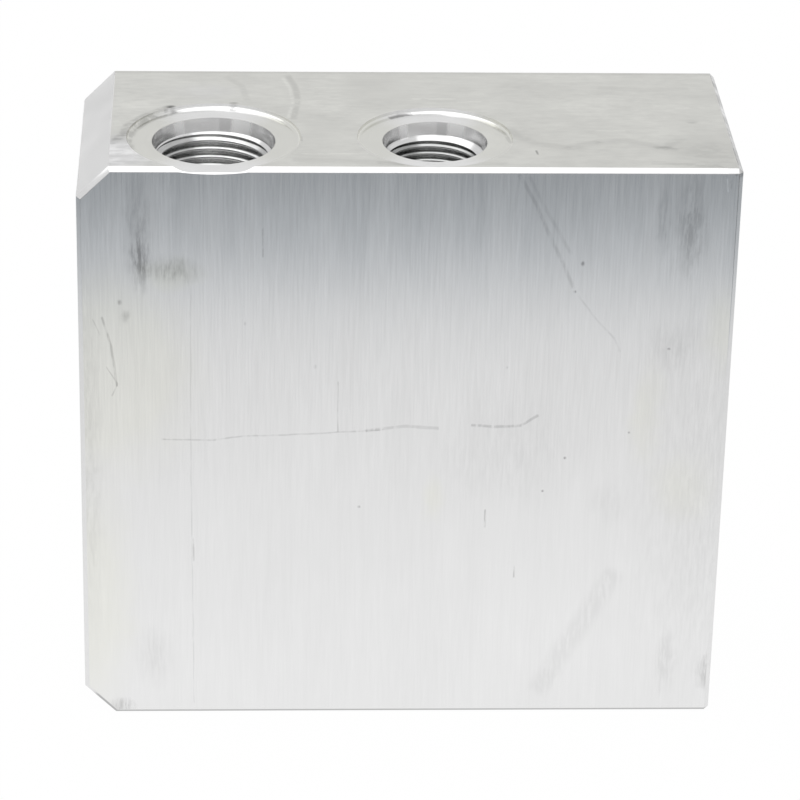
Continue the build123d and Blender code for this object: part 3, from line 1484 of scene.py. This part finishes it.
@dataclass(frozen=True)
class Studio:
    """White sheet, soft light and the room that the metal mirrors. Lengths are in metres.

    The sheet dims step by step with the distance in front of the block, and beside it near its front. Past
    dusk_fade it turns bluish. contact_shade is how dark the gap is under the block.
    """

    floor_front: float = -0.5
    floor_rear: float = 5.0
    floor_half_width: float = 1.4
    floor_fades: tuple[Fade, ...] = (
        (0.0, 0.24, 0.945, 0.81),
        (0.224, 0.292, 1.0, 0.58),
        (0.27, 0.38, 1.0, 0.55),
    )
    beside_fade: Spot = (0.12, 0.02)
    dusk_fade: Spot = (0.22, 0.29)
    contact_edge: Spot = (0.001, -0.001)
    contact_shade: float = 0.42
    white: Colour = (1.0, 1.0, 1.0)
    dusk: Colour = (0.93, 0.995, 1.06)
    paper: Colour = (0.9, 0.9, 0.9)
    glow_share: float = 0.985
    below_horizon: float = 0.22
    above_horizon: float = 0.80
    horizon: Spot = (-0.03, 0.06)
    rearward: Spot = (-0.2, 0.4)
    rear_foot: Spot = (0.08, 0.32)
    rear_foot_level: float = 0.98
    camera: Camera = Camera()
    lamps: tuple[Softbox, ...] = (Softbox("overhead_softbox", (-0.35, -0.15, 1.25), (2.2, 1.9), 0.75),)

    def build(self) -> None:
        """Make the floor, the world, the lamps and the camera."""
        self.floor()
        self.world()
        for lamp in self.lamps:
            lamp.make()
        self.camera.make()
        bpy.context.scene.view_settings.view_transform = "Standard"

    @staticmethod
    def rays(graph: Graph) -> tuple[Value, Value]:
        """Tell the rays apart.

        Args:
            graph: The graph of a material or world.

        Returns:
            Whether a ray comes from the camera, and whether it comes from metal or glass.
        """
        paths = graph.node("ShaderNodeLightPath").outputs
        mirrored = Value(graph, paths["Is Glossy Ray"]).high(Value(graph, paths["Is Transmission Ray"]))
        return Value(graph, paths["Is Camera Ray"]), mirrored

    def floor(self) -> None:
        """Lay the sheet that the block stands on."""
        bm = bmesh.new()
        bmesh.ops.create_grid(bm, x_segments=1, y_segments=1, size=1.0)
        half_length = (self.floor_rear - self.floor_front) / 2
        scale = Matrix.Diagonal((self.floor_half_width, half_length, 1.0, 1.0))
        middle = Matrix.Translation((0.0, (self.floor_rear + self.floor_front) / 2, 0.0))
        bmesh.ops.transform(bm, matrix=middle @ scale, verts=bm.verts)
        floor = object_from(bm, "floor")
        floor.data.materials.append(self.floor_material())

    def floor_material(self) -> bpy.types.Material:
        """Make the sheet's material: white to the camera, and dimming outward as the metal mirrors it.

        Returns:
            The new material.
        """
        material, graph = new_material("white_floor")
        camera, mirrored = self.rays(graph)
        across, deep, _ = graph.split(graph.place())
        ahead, aside, behind = LOW.y - deep, abs(across) - HIGH.x, deep - HIGH.y
        outward = ahead.high(aside * deep.step(*self.beside_fade))
        under = ahead.high(aside).high(behind).step(*self.contact_edge)
        level = 1.0 - self.contact_shade * under
        for fade in self.floor_fades:
            level = level * outward.step(*fade)
        tint = graph.blend(outward.step(*self.dusk_fade), self.white, self.dusk)
        shown = graph.blend(camera, graph.scaled(tint, level), self.white)
        paper = graph.node("ShaderNodeBsdfDiffuse", None, self.paper)
        glow = graph.node("ShaderNodeEmission", None, shown, 1.0)
        share = (camera + mirrored) * self.glow_share
        mixed = graph.node("ShaderNodeMixShader", None, share, paper.outputs[0], glow.outputs[0])
        graph.node("ShaderNodeOutputMaterial", None, mixed.outputs[0])
        return material

    def world(self) -> None:
        """Make a white background, and a light room with a dim floor far in front."""
        world = bpy.data.worlds.new("studio")
        world.use_nodes = True
        bpy.context.scene.world = world
        graph = Graph(world.node_tree)
        _, deep, up = graph.split(graph.node("ShaderNodeTexCoord").outputs["Generated"])
        above, rear = up.step(*self.horizon), deep.step(*self.rearward)
        rear_level = up.step(*self.rear_foot, self.rear_foot_level, self.above_horizon)
        room = rear * rear_level + (1.0 - rear) * self.above_horizon
        level = above * room + (1.0 - above) * self.below_horizon
        camera, _ = self.rays(graph)
        shader = graph.node("ShaderNodeBackground", None, self.white, camera + (1.0 - camera) * level)
        graph.node("ShaderNodeOutputWorld", None, shader.outputs[0])


def main() -> None:
    """Build the block and the studio."""
    logging.basicConfig(level=logging.INFO, format="%(name)s: %(message)s")
    ManifoldBlock().build()
    Studio().build()


if __name__ == "__main__":
    main()
